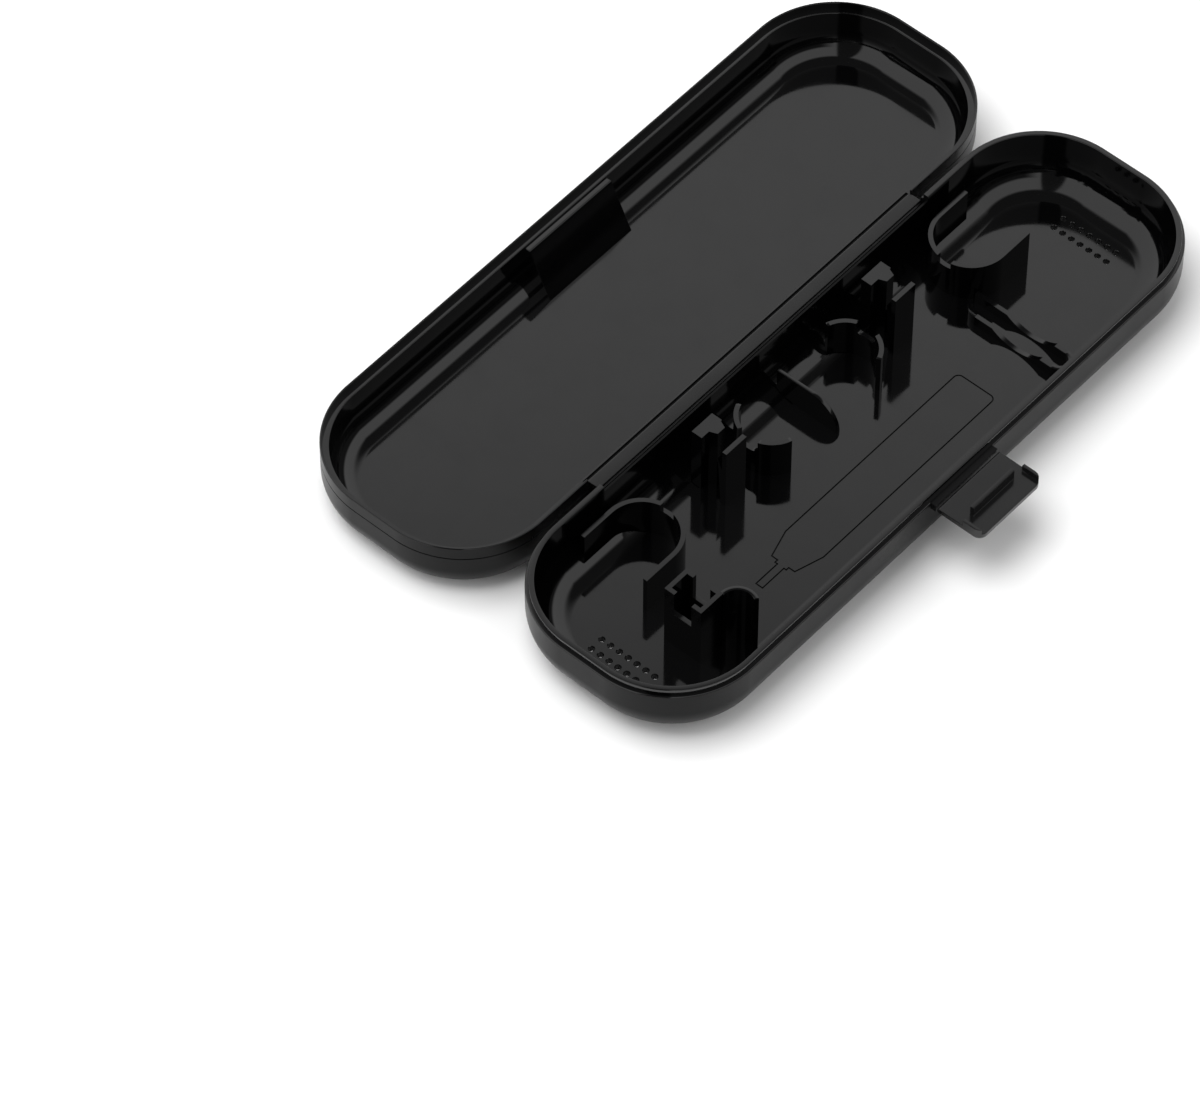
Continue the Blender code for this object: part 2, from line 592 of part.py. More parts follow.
clear_scene()
PARTS = new_collection("toothbrush_travel_case")
CUTTERS = new_collection("cutters")
GLOSS_BLACK = new_material("gloss_black_plastic", (0.012, 0.012, 0.013), 0.12)
SATIN_BLACK = new_material("satin_black_plastic", (0.015, 0.015, 0.016), 0.42)
WEAVE_BLACK = new_material("woven_look_inlay", (0.045, 0.045, 0.047), 0.38)
FOLD_BLACK = new_material("fold_strip_plastic", (0.014, 0.014, 0.015), 0.35)
RIB_BLACK = new_material("rib_black_plastic", (0.010, 0.010, 0.011), 0.16)
BASE_SPACE = add_cutter("base_space", tray_mesh("base_space", WALL + FIT_GAP, FLOOR + FIT_GAP,
                                                BASE_HEIGHT + LID_HEIGHT,
                                                fillet=BASE_FILLET - WALL - FIT_GAP))

make_base(SATIN_BLACK)
make_lid(SATIN_BLACK)
make_panel(WEAVE_BLACK)
make_strip(FOLD_BLACK)
make_flap(SATIN_BLACK)
for side, sign in (("near", -1), ("far", 1)):
    make_head_pocket(side + "_head_pocket", sign, RIB_BLACK)
    make_stem_cradle(side + "_stem_cradle", sign, RIB_BLACK)
    make_ring_clip(side + "_ring_clip", sign, RIB_BLACK)
make_middle_rib(RIB_BLACK)
make_neck_bracket(RIB_BLACK)
make_neck_brace(RIB_BLACK)
make_hairpin(RIB_BLACK)
make_pivots()
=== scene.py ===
# %% [markdown]
# # A travel case for an electric toothbrush
# The case lies open on a pale table: two shallow black trays, a strip with two fold lines
# between them, a snap flap in front, and thin walls inside that hold the brush.
# The construction is loaded as a fixed frame. What is modelled here is the fine surface of
# each piece, and it goes exactly where the frame says.

# %% Load the frame
import json
import math

import bmesh
import bpy
from mathutils import Matrix, Vector


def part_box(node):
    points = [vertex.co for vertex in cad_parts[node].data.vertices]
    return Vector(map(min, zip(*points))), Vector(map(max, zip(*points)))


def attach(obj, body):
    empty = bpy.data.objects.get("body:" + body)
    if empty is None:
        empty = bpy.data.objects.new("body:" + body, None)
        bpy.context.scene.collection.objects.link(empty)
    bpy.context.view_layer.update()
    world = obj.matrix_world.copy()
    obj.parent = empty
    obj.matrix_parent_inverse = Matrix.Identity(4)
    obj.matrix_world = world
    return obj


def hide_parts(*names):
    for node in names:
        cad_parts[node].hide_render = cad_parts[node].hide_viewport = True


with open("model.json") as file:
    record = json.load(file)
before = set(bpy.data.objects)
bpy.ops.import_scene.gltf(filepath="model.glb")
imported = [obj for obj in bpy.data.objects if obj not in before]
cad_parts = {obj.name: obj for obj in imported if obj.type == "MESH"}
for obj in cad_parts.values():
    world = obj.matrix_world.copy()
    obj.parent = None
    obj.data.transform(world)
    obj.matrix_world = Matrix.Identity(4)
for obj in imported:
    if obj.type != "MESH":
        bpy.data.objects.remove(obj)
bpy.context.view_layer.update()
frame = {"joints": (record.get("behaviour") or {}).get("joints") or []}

base_low, base_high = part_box("base_shell")
lid_low, lid_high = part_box("lid_shell")

# %% [markdown]
# ## Camera
# The photograph is taken with a long lens from the near left, about 52 degrees up. A long
# lens far away keeps the long edges of the trays almost parallel. The camera is aimed at a
# point on the table, so three plain numbers say where it stands.

# %% Camera
CAMERA_AZIMUTH = -48.684
CAMERA_ELEVATION = 52.489
CAMERA_DISTANCE = 1.8583
CAMERA_AIM = Vector((-0.0692, 0.0294, 0.0))
LENS_MM = 215.33
SENSOR_MM = 36.0


def direction(azimuth, elevation):
    """The unit vector towards a viewer at an azimuth and an elevation in degrees."""
    turn, rise = math.radians(azimuth), math.radians(elevation)
    level = math.cos(rise)
    return Vector((math.sin(turn) * level, -math.cos(turn) * level, math.sin(rise)))


back = direction(CAMERA_AZIMUTH, CAMERA_ELEVATION)
lens = bpy.data.cameras.new("studio_camera")
lens.lens = LENS_MM
lens.sensor_width = SENSOR_MM
lens.clip_end = 10 * CAMERA_DISTANCE
camera = bpy.data.objects.new("studio_camera", lens)
camera.location = CAMERA_AIM + back * CAMERA_DISTANCE
camera.rotation_mode = "QUATERNION"
camera.rotation_quaternion = back.to_track_quat("Z", "Y")
bpy.context.scene.collection.objects.link(camera)
bpy.context.scene.camera = camera
print("camera at", [round(value, 3) for value in camera.location])

# %% [markdown]
# ## Studio light
# Polished black plastic has almost no colour of its own: what the eye sees is the room in
# it. Here the room is a plain white tent with three dark places: its open top, the gap
# beside the camera, and the low edge on the right. Their reflections draw the dark bands in
# the rounded corners. The world's shader draws the tent. One wide lamp overhead lifts the
# table to white and leaves a soft shadow, and the polish doesn't show it.

# %% World and lamp
TENT_LIGHT = 1.15
DARK_LIGHT = 0.10
TOP_AXIS = Vector((0.126, 0.050, 0.990)).normalized()
TOP_DEGREES = (24.5, 33.0)
GAP_AZIMUTH = CAMERA_AZIMUTH - 15.0
GAP_DEGREES = (12.0, 16.0)
EDGE_AZIMUTH = 30.0
EDGE_DEGREES = (60.0, 80.0)
EDGE_RISE_DEGREES = (22.0, 30.0)
LAMP_POWER = 22.0
LAMP_SIZE = 1.2
LAMP_PLACE = Vector((-0.25, 0.35, 1.5))


def add_node(tree, kind, **values):
    """Adds a shader node and sets its properties; inputs are set through a link or by name."""
    node = tree.nodes.new(kind)
    for name, value in values.items():
        setattr(node, name, value)
    return node


def math_node(tree, operation, *sources):
    """A Math node whose inputs are numbers or sockets, in order."""
    node = add_node(tree, "ShaderNodeMath", operation=operation)
    for index, source in enumerate(sources):
        if isinstance(source, bpy.types.NodeSocket):
            tree.links.new(source, node.inputs[index])
        else:
            node.inputs[index].default_value = source
    return node.outputs[0]


def map_range(tree, source, low, high, to_low, to_high):
    """Maps a value smoothly from one range to another, and holds it at the ends."""
    node = add_node(tree, "ShaderNodeMapRange", interpolation_type="SMOOTHSTEP")
    tree.links.new(source, node.inputs["Value"])
    limits = (("From Min", low), ("From Max", high), ("To Min", to_low), ("To Max", to_high))
    for name, value in limits:
        node.inputs[name].default_value = value
    return node.outputs["Result"]


world = bpy.data.worlds.new("white_tent")
world.use_nodes = True
bpy.context.scene.world = world
tent = world.node_tree
sky = tent.nodes["Background"]
sky.inputs["Color"].default_value = (1.0, 1.0, 1.0, 1.0)
towards = add_node(tent, "ShaderNodeTexCoord").outputs["Generated"]


def off_axis(source, axis, limits):
    """0 near an axis and 1 away from it, with a soft step between two angles in degrees."""
    dot = add_node(tent, "ShaderNodeVectorMath", operation="DOT_PRODUCT")
    tent.links.new(source, dot.inputs[0])
    dot.inputs[1].default_value = axis
    turn = math_node(tent, "ARCCOSINE", dot.outputs["Value"])
    return map_range(tent, turn, math.radians(limits[0]), math.radians(limits[1]), 0.0, 1.0)


flattened = add_node(tent, "ShaderNodeVectorMath", operation="MULTIPLY")
tent.links.new(towards, flattened.inputs[0])
flattened.inputs[1].default_value = (1.0, 1.0, 0.0)
level = add_node(tent, "ShaderNodeVectorMath", operation="NORMALIZE")
tent.links.new(flattened.outputs["Vector"], level.inputs[0])
height = add_node(tent, "ShaderNodeSeparateXYZ")
tent.links.new(towards, height.inputs["Vector"])
rise = [math.sin(math.radians(degrees)) for degrees in EDGE_RISE_DEGREES]
above_edge = map_range(tent, height.outputs["Z"], *rise, 0.0, 1.0)
beside_edge = off_axis(level.outputs["Vector"], direction(EDGE_AZIMUTH, 0), EDGE_DEGREES)
white = math_node(tent, "MAXIMUM", above_edge, beside_edge)
beside_top = off_axis(towards, TOP_AXIS, TOP_DEGREES)
white = math_node(tent, "MINIMUM", white, beside_top)
beside_gap = off_axis(level.outputs["Vector"], direction(GAP_AZIMUTH, 0), GAP_DEGREES)
white = math_node(tent, "MINIMUM", white, beside_gap)
strength = math_node(tent, "MULTIPLY_ADD", white, TENT_LIGHT - DARK_LIGHT, DARK_LIGHT)
tent.links.new(strength, sky.inputs["Strength"])

lamp_light = bpy.data.lights.new("overhead_lamp", "AREA")
lamp_light.energy = LAMP_POWER
lamp_light.size = LAMP_SIZE
lamp = bpy.data.objects.new("overhead_lamp", lamp_light)
lamp.location = LAMP_PLACE
lamp.rotation_mode = "QUATERNION"
lamp.rotation_quaternion = LAMP_PLACE.to_track_quat("Z", "Y")
lamp.visible_glossy = False
bpy.context.scene.collection.objects.link(lamp)
bpy.context.scene.view_settings.view_transform = "Standard"
print("white tent with a gap of", 2 * GAP_DEGREES[1], "degrees beside the camera")

# %% [markdown]
# ## Finishes
# The outside of the trays is satin: a fine spark-eroded grain in the mould scatters the
# light. The inside and the thin walls are polished, so they get a low roughness and only a
# trace of unevenness. The sides of the thin walls get a copy of their polish that reflects
# less, as painted shade, so that their tops read lighter. All patterns read Object
# coordinates, in metres, so a scale of 1000 means one cell for each millimetre.

# %% Helpers for materials
PER_MM = 1000.0


def start_finish(name, colour, roughness):
    """A new material with its main shader set, and the Object coordinates to draw on."""
    finish = bpy.data.materials.new(name)
    finish.use_nodes = True
    tree = finish.node_tree
    shader = tree.nodes["Principled BSDF"]
    shader.inputs["Base Color"].default_value = (*colour, 1.0)
    shader.inputs["Roughness"].default_value = roughness
    place = add_node(tree, "ShaderNodeTexCoord").outputs["Object"]
    return finish, tree, shader, place


def noise(tree, place, cells_per_mm, detail=2.0, roughness=0.5):
    """Fractal noise with a number of cells for each millimetre."""
    node = add_node(tree, "ShaderNodeTexNoise")
    node.inputs["Scale"].default_value = cells_per_mm * PER_MM
    node.inputs["Detail"].default_value = detail
    node.inputs["Roughness"].default_value = roughness
    tree.links.new(place, node.inputs["Vector"])
    return node.outputs["Fac"]


def bump(tree, shader, height, depth_mm, strength=1.0):
    """Joins a height between 0 and 1 to the shader as a bump of a real depth."""
    node = add_node(tree, "ShaderNodeBump")
    node.inputs["Strength"].default_value = strength
    node.inputs["Distance"].default_value = depth_mm / PER_MM
    tree.links.new(height, node.inputs["Height"])
    tree.links.new(node.outputs["Normal"], shader.inputs["Normal"])


# %% Polished and satin black
POLISHED_COLOUR = (0.0010, 0.0010, 0.0011)
SATIN_COLOUR = (0.0025, 0.0025, 0.0026)
UNEVEN_MM = 0.004
HAIRLINE_WEAR = 0.05
# A low IOR that makes a surface reflect little, used for painted shade.
PAINTED_SHADE_IOR = 1.20


def polished_black(name, roughness):
    """Moulded black with a mirror polish, a few faint hairline marks and a slight waviness."""
    finish, tree, shader, place = start_finish(name, POLISHED_COLOUR, roughness)
    wear = noise(tree, place, 0.09, 4.0, 0.6)
    tree.links.new(map_range(tree, wear, 0.35, 0.75, roughness, roughness + HAIRLINE_WEAR),
                   shader.inputs["Roughness"])
    bump(tree, shader, noise(tree, place, 0.12, 1.0), UNEVEN_MM)
    return finish


def satin_black(name, roughness, ior):
    """Moulded black with the fine even grain of a spark-eroded mould."""
    finish, tree, shader, place = start_finish(name, SATIN_COLOUR, roughness)
    shader.inputs["IOR"].default_value = ior
    rubbed = noise(tree, place, 0.05, 3.0, 0.6)
    tree.links.new(map_range(tree, rubbed, 0.3, 0.8, roughness + 0.03, roughness - 0.06),
                   shader.inputs["Roughness"])
    bump(tree, shader, noise(tree, place, 5.0, 2.0), UNEVEN_MM)
    return finish


POLISHED = polished_black("polished_black", 0.06)
RIB_POLISH = polished_black("polished_rib_black", 0.09)
# The sides' copy reflects less than the tops' polish: painted shade on the sides of the holders.
RIB_PAINTED_SHADE = polished_black("rib_black_painted_shade", 0.12)
RIB_PAINTED_SHADE.node_tree.nodes["Principled BSDF"].inputs["IOR"].default_value = PAINTED_SHADE_IOR
SATIN = satin_black("satin_black", 0.32, 1.21)
FOLD_SATIN = satin_black("fold_strip_black", 0.20, 1.45)
# A rough black that reflects little: painted shade on the walls of the air holes and the engraved
# groove.
PAINTED_SHADE_BLACK = satin_black("hole_and_groove_painted_shade", 0.60, PAINTED_SHADE_IOR)
print("finishes:", POLISHED.name, RIB_POLISH.name, SATIN.name, FOLD_SATIN.name, PAINTED_SHADE_BLACK.name)

# %% [markdown]
# ## Woven-look inlay
# The panel in the lid is printed with a common two-by-two twill, as carbon cloth has: each
# tow passes over two and under two, one step on in the next row, which draws the diagonal.
# The pattern is arithmetic on the place: number the tow across and the tow along, subtract,
# and see what is left after dividing by four.

# %% Twill material
TOW = 0.00205
TWILL_LIGHT = (0.082, 0.082, 0.083, 1.0)
TWILL_DARK = (0.009, 0.009, 0.0095, 1.0)
TWILL_IOR = 1.25
TWILL_ROUGHNESS = 0.42
TWILL_CYCLE = 4.0
TWILL_OVER = 1.5
FIBRES_ALONG_X = (0.35, 9.0, 1.0)
FIBRES_ALONG_Y = (9.0, 0.35, 1.0)
FIBRE_MM = 0.02


def twill_black(name):
    """The printed twill: light tows run across, dark tows run along, both with fine fibres."""
    finish, tree, shader, place = start_finish(name, TWILL_DARK[:3], TWILL_ROUGHNESS)
    shader.inputs["IOR"].default_value = TWILL_IOR
    axes = add_node(tree, "ShaderNodeSeparateXYZ")
    tree.links.new(place, axes.inputs["Vector"])
    across = math_node(tree, "DIVIDE", axes.outputs["X"], TOW)
    along = math_node(tree, "DIVIDE", axes.outputs["Y"], TOW)
    tow_across = math_node(tree, "FLOOR", across)
    tow_along = math_node(tree, "FLOOR", along)
    step = math_node(tree, "SUBTRACT", tow_across, tow_along)
    left = math_node(tree, "FLOORED_MODULO", step, TWILL_CYCLE)
    over = math_node(tree, "LESS_THAN", left, TWILL_OVER)
    fibres = []
    for scale in (FIBRES_ALONG_X, FIBRES_ALONG_Y):
        stretched = add_node(tree, "ShaderNodeMapping")
        stretched.inputs["Scale"].default_value = scale
        tree.links.new(place, stretched.inputs["Vector"])
        fibres.append(noise(tree, stretched.outputs["Vector"], 0.9, 2.0))
    grain = add_node(tree, "ShaderNodeMix", data_type="FLOAT")
    tree.links.new(over, grain.inputs["Factor"])
    tree.links.new(fibres[0], grain.inputs["A"])
    tree.links.new(fibres[1], grain.inputs["B"])
    strength = map_range(tree, grain.outputs["Result"], 0.25, 0.75, 0.75, 1.15)
    colour = add_node(tree, "ShaderNodeMix", data_type="RGBA")
    tree.links.new(over, colour.inputs["Factor"])
    colour.inputs["A"].default_value = TWILL_DARK
    colour.inputs["B"].default_value = TWILL_LIGHT
    shade = add_node(tree, "ShaderNodeVectorMath", operation="SCALE")
    tree.links.new(colour.outputs["Result"], shade.inputs[0])
    tree.links.new(strength, shade.inputs["Scale"])
    tree.links.new(shade.outputs["Vector"], shader.inputs["Base Color"])
    bump(tree, shader, grain.outputs["Result"], FIBRE_MM)
    return finish


TWILL = twill_black("twill_inlay")
print("twill with tows of", TOW * PER_MM, "mm")

# %% [markdown]
# ## Helpers for pieces
# Each new piece starts as a bmesh, becomes an object at the origin, and is then told which
# body it rides on, which node it stands for and which slot its finish comes from.

# %% Make, cut and hand over a piece
SHARP_DEGREES = 35.0
FLAT_FACE_WEIGHT = 50
TOP_FACING = 0.5


def new_piece(name, bm, *finishes):
    """Turns a bmesh into an object with its finishes, in the order of their slots."""
    mesh = bpy.data.meshes.new(name)
    bm.to_mesh(mesh)
    bm.free()
    for finish in finishes:
        mesh.materials.append(finish)
    piece = bpy.data.objects.new(name, mesh)
    bpy.context.scene.collection.objects.link(piece)
    return piece


def apply_modifiers(piece):
    """Replaces the mesh by what its modifiers make of it."""
    seen = piece.evaluated_get(bpy.context.evaluated_depsgraph_get())
    mesh = bpy.data.meshes.new_from_object(seen)
    piece.modifiers.clear()
    piece.data = mesh
    return piece


def cut(piece, tool, operation="DIFFERENCE"):
    """Cuts, joins or trims a piece with a tool, and removes the tool."""
    step = piece.modifiers.new("cut", "BOOLEAN")
    step.operation = operation
    step.solver = "EXACT"
    step.object = tool
    apply_modifiers(piece)
    bpy.data.objects.remove(tool, do_unlink=True)
    return piece


def soften(piece, width, segments=2):
    """Rounds the sharp edges a little, as every moulded edge is."""
    step = piece.modifiers.new("soft_edges", "BEVEL")
    step.width = width
    step.segments = segments
    step.profile = 0.5
    step.limit_method = "ANGLE"
    step.angle_limit = math.radians(SHARP_DEGREES)
    step.harden_normals = False
    return apply_modifiers(piece)


def paint_shade_on_sides(piece):
    """Gives a holder a darker copy of its polish, as painted shade, wherever a face doesn't look up."""
    piece.data.materials.clear()
    for finish in (RIB_POLISH, RIB_PAINTED_SHADE):
        piece.data.materials.append(finish)
    for face in piece.data.polygons:
        face.material_index = 0 if face.normal.z > TOP_FACING else 1


def hand_over(piece, body, node, slot):
    """Shades a finished piece and ties it to the frame.

    Smooth shading bends the light on a flat face beside a rounded edge. Weighted normals let
    the large faces decide, so that they stay flat and only the round turns.
    """
    # Holders get painted shade on every face that doesn't look upwards.
    if slot == "ribs":
        paint_shade_on_sides(piece)
    piece.data.shade_smooth()
    piece.data.set_sharp_from_angle(angle=math.radians(SHARP_DEGREES))
    step = piece.modifiers.new("flat_faces", "WEIGHTED_NORMAL")
    step.mode = "FACE_AREA"
    step.weight = FLAT_FACE_WEIGHT
    step.keep_sharp = True
    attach(piece, body)
    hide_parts(node)
    print(piece.name, "rides on", body, "with", len(piece.data.polygons), "faces")
    return piece


# %% Shapes that bmesh makes from a few points
def box(name, low, high, *finishes):
    """A block between two corners."""
    bm = bmesh.new()
    bmesh.ops.create_cube(bm, size=1.0)
    low, high = Vector(low), Vector(high)
    bmesh.ops.scale(bm, vec=high - low, verts=bm.verts)
    bmesh.ops.translate(bm, vec=(high + low) / 2, verts=bm.verts)
    return new_piece(name, bm, *finishes)


def arc(centre, radius, start, end, steps):
    """Points on an arc, from one angle in degrees to another."""
    points = []
    for step in range(steps + 1):
        turn = math.radians(start + (end - start) * step / steps)
        points.append((centre[0] + radius * math.cos(turn), centre[1] + radius * math.sin(turn)))
    return points


def prism(name, outline, low, high, *finishes, facing="Z"):
    """An outline made a face and extruded along Z, or, facing X, an outline of Y and Z along X."""
    bm = bmesh.new()
    for u, v in outline:
        bm.verts.new((u, v, low) if facing == "Z" else (low, u, v))
    face = bmesh.ops.contextual_create(bm, geom=bm.verts[:])["faces"]
    raised = bmesh.ops.extrude_face_region(bm, geom=face)["geom"]
    moved = [item for item in raised if isinstance(item, bmesh.types.BMVert)]
    run = (0, 0, high - low) if facing == "Z" else (high - low, 0, 0)
    bmesh.ops.translate(bm, vec=run, verts=moved)
    bmesh.ops.recalc_face_normals(bm, faces=bm.faces[:])
    return new_piece(name, bm, *finishes)


def wall_along(name, path, thickness, low, high, *finishes, closed=False):
    """A thin upright wall: a path of edges extruded upwards, with an even thickness."""
    bm = bmesh.new()
    verts = [bm.verts.new((x, y, low)) for x, y in path]
    edges = [bm.edges.new(pair) for pair in zip(verts, verts[1:])]
    if closed:
        edges.append(bm.edges.new((verts[-1], verts[0])))
    raised = bmesh.ops.extrude_edge_only(bm, edges=edges)["geom"]
    moved = [item for item in raised if isinstance(item, bmesh.types.BMVert)]
    bmesh.ops.translate(bm, vec=(0, 0, high - low), verts=moved)
    piece = new_piece(name, bm, *finishes)
    step = piece.modifiers.new("thickness", "SOLIDIFY")
    step.thickness = thickness
    step.offset = 0.0
    step.use_even_offset = True
    apply_modifiers(piece)
    bm = bmesh.new()
    bm.from_mesh(piece.data)
    bmesh.ops.recalc_face_normals(bm, faces=bm.faces[:])
    bm.to_mesh(piece.data)
    bm.free()
    return piece


# %% [markdown]
# ## Sweeping a section round the case
# Both trays have the same plan, a rectangle with large round corners, and the same wall all
# the way round. Polished plastic shows every dent in a mesh, so the tray isn't cut from a
# block. A circle is pushed apart into the plan, and each point of the wall's section is one
# more ring of it: extruded, drawn inwards by the inset and lifted to its height.

# %% Sweep a section
CORNER_STEPS = 28
CORNER_RADIUS = 0.0272
LENGTH = lid_high.x - lid_low.x
WIDTH = lid_high.y - lid_low.y


def ring_edges(verts):
    """The edges between the vertices of one ring, in an order that is the same in every run."""
    inside = set(verts)
    beside = (edge for vert in verts for edge in vert.link_edges if edge.other_vert(vert) in inside)
    return list(dict.fromkeys(beside))


def swept_tray(name, section, centre_y, finishes, outside_points=0):
    """Rings of the case's plan, one for each (inset, height), closed by a flat cap at both ends.

    Faces up to outside_points have the first finish, and those after it the second.
    """
    bm = bmesh.new()
    half_step = math.pi / (4 * CORNER_STEPS)
    turn = Matrix.Rotation(half_step, 4, "Z")
    bmesh.ops.create_circle(bm, segments=4 * CORNER_STEPS, radius=1.0, matrix=turn)
    ring = bm.verts[:]
    first = ring
    for vert in ring:
        vert.co.x += math.copysign(LENGTH / 2, vert.co.x)
        vert.co.y += math.copysign(WIDTH / 2, vert.co.y)
    radius = 1.0
    core = Vector((LENGTH / 2, WIDTH / 2))
    for index, (inset, height) in enumerate(section):
        if index:
            grown = bmesh.ops.extrude_edge_only(bm, edges=ring_edges(ring))["geom"]
            ring = [item for item in grown if isinstance(item, bmesh.types.BMVert)]
            for item in grown:
                if isinstance(item, bmesh.types.BMFace):
                    item.material_index = 0 if index <= outside_points else 1
        wanted = (CORNER_RADIUS - inset) / math.cos(half_step)
        new_core = Vector((LENGTH / 2 - CORNER_RADIUS, WIDTH / 2 - CORNER_RADIUS))
        for vert in ring:
            old = Vector((math.copysign(core.x, vert.co.x), math.copysign(core.y, vert.co.y)))
            new = Vector((math.copysign(new_core.x, vert.co.x), math.copysign(new_core.y, vert.co.y)))
            spot = new + (vert.co.xy - old) * (wanted / radius)
            vert.co = (spot.x, spot.y, height)
        radius, core = wanted, new_core
    caps = bmesh.ops.edgeloop_fill(bm, edges=ring_edges(first))["faces"]
    caps[0].material_index = 0
    caps = bmesh.ops.edgeloop_fill(bm, edges=ring_edges(ring))["faces"]
    caps[0].material_index = 1 if outside_points else 0
    bmesh.ops.translate(bm, vec=(0, centre_y, 0), verts=bm.verts[:])
    bmesh.ops.recalc_face_normals(bm, faces=bm.faces[:])
    return new_piece(name, bm, *finishes)


# %% [markdown]
# ## The base tray
# The wall has a ledge outside, on which the lid's lip comes to rest, and a raised tongue
# inside, which keeps the lid from sliding. The tongue's rounds are a quarter of a millimetre
# and the ledge's is nearly half of one: without them no edge would catch the light.

# %% Sizes of the walls
FLOOR = 0.0020
FIT_GAP = 0.0003
LIP = 0.0006
TONGUE = 0.0016
TONGUE_RISE = 0.0018
WALL = LIP + FIT_GAP + TONGUE
RIM_Z = base_high.z - TONGUE_RISE
LID_RIM_Z = lid_high.z
REBATE_DEPTH = TONGUE_RISE + FIT_GAP
BASE_FILLET = 0.0115
LID_FILLET = 0.0095
EDGE_ROUND = 0.00025
LEDGE_ROUND = 0.00045
EDGE_STEPS = 4
FINE_STEPS = 3
CORNER_POINTS = 6
FILLET_STEPS = 16
FLAT_MARGIN = 0.0004
LID_Y = (lid_low.y + lid_high.y) / 2

# %% Base section and tray
outside = [(BASE_FILLET + FLAT_MARGIN, 0.0)]
outside += arc((BASE_FILLET, BASE_FILLET), BASE_FILLET, 270, 180, FILLET_STEPS)
outside += arc((LEDGE_ROUND, RIM_Z - LEDGE_ROUND), LEDGE_ROUND, 180, 90, EDGE_STEPS)
ledge_end = LIP + FIT_GAP
inside = [(ledge_end, RIM_Z)]
inside += arc((ledge_end + EDGE_ROUND, base_high.z - EDGE_ROUND), EDGE_ROUND, 180, 90, EDGE_STEPS)
inside += arc((WALL - EDGE_ROUND, base_high.z - EDGE_ROUND), EDGE_ROUND, 90, 0, EDGE_STEPS)
inner_fillet = BASE_FILLET - WALL
inside += arc((WALL + inner_fillet, FLOOR + inner_fillet), inner_fillet, 180, 270, FILLET_STEPS)
inside += [(BASE_FILLET + FLAT_MARGIN, FLOOR)]
base = swept_tray("base_tray", outside + inside, 0.0, (SATIN, POLISHED), len(outside) - EDGE_STEPS)
print("base section has", len(outside + inside), "points")

# %% [markdown]
# The air holes, the shelf for the flap and the seat behind the fold strip are cut or joined
# with Booleans. They only touch flat stretches of the tray, so the swept corners stay clean.

# %% Air holes, shelf and seat in the base
VENT_RADIUS = 0.00085
VENT_PITCH = 0.0030
VENT_ROW_FROM_END = 0.0143
VENT_ROW_SPACING = 0.0040
VENTS_PER_ROW = 7
DRAIN_X = 0.0284
DRAIN_Y = 0.0234
DRAINS = 3
VENT_SIDES = 20
VENT_FLARE = 0.00012
OVERRUN = 0.0020
SHELF_THICKNESS = 0.0022
STRIP_SEAT = 0.0019
strip_low, strip_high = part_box("hinge_strip")
flap_low, flap_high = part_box("latch_flap")


def air_holes(radius, top_radius, low, high, finish):
    """All air holes as one tool: two rows at each end, and three drains by a cradle."""
    bm = bmesh.new()
    middle = (VENTS_PER_ROW - 1) / 2
    places = []
    for end in (-1, 1):
        for row in range(2):
            x = end * (LENGTH / 2 - VENT_ROW_FROM_END - row * VENT_ROW_SPACING)
            places += [(x, (hole - middle) * VENT_PITCH) for hole in range(VENTS_PER_ROW)]
    places += [(DRAIN_X, DRAIN_Y + (hole - 1) * VENT_PITCH) for hole in range(DRAINS)]
    for x, y in places:
        bmesh.ops.create_cone(bm, cap_ends=True, segments=VENT_SIDES, radius1=radius, radius2=top_radius,
                              depth=high - low, matrix=Matrix.Translation((x, y, (low + high) / 2)))
    return new_piece("air_holes", bm, finish)


shelf = box("latch_shelf", (flap_low.x, base_low.y, RIM_Z - SHELF_THICKNESS),
            (flap_high.x, -WIDTH / 2 + LIP, RIM_Z), FOLD_SATIN)
cut(base, shelf, "UNION")
cut(base, box("base_strip_seat", (strip_low.x - FIT_GAP, WIDTH / 2 - STRIP_SEAT, strip_low.z - FIT_GAP),
              (strip_high.x + FIT_GAP, WIDTH, WIDTH), SATIN))
cut(base, box("tongue_gap", (strip_low.x - FIT_GAP, WIDTH / 2 - WALL - OVERRUN, RIM_Z),
              (strip_high.x + FIT_GAP, WIDTH, WIDTH), SATIN))
# The walls of the air holes get painted shade.
cut(base, air_holes(VENT_RADIUS, VENT_RADIUS, -OVERRUN, FLOOR + OVERRUN, PAINTED_SHADE_BLACK))
cut(base, air_holes(VENT_RADIUS, VENT_RADIUS + 2 * VENT_FLARE,
                    FLOOR - VENT_FLARE, FLOOR + VENT_FLARE, POLISHED))
print("base tray cut:", len(base.data.polygons), "faces")

# %% [markdown]
# A flat outline of a brush handle is engraved in the floor, to show which way round the
# brush lies. It is a groove less than half a millimetre wide, cut with a thin wall, and its
# walls get the black of painted shade.

# %% Engraved handle outline
MARK_WIDTH = 0.00040
MARK_DEPTH = 0.00030
MARK_X_FAR = 0.0360
MARK_X_SHOULDER = -0.0340
MARK_X_TAPER = -0.0425
MARK_X_NECK = -0.0435
MARK_X_END = -0.0520
MARK_Y = -0.0101
MARK_HALF_BODY = 0.0064
MARK_HALF_TAPER = 0.0039
MARK_HALF_STEP = 0.0019
MARK_HALF_NECK = 0.0011
MARK_CORNER = 0.0016


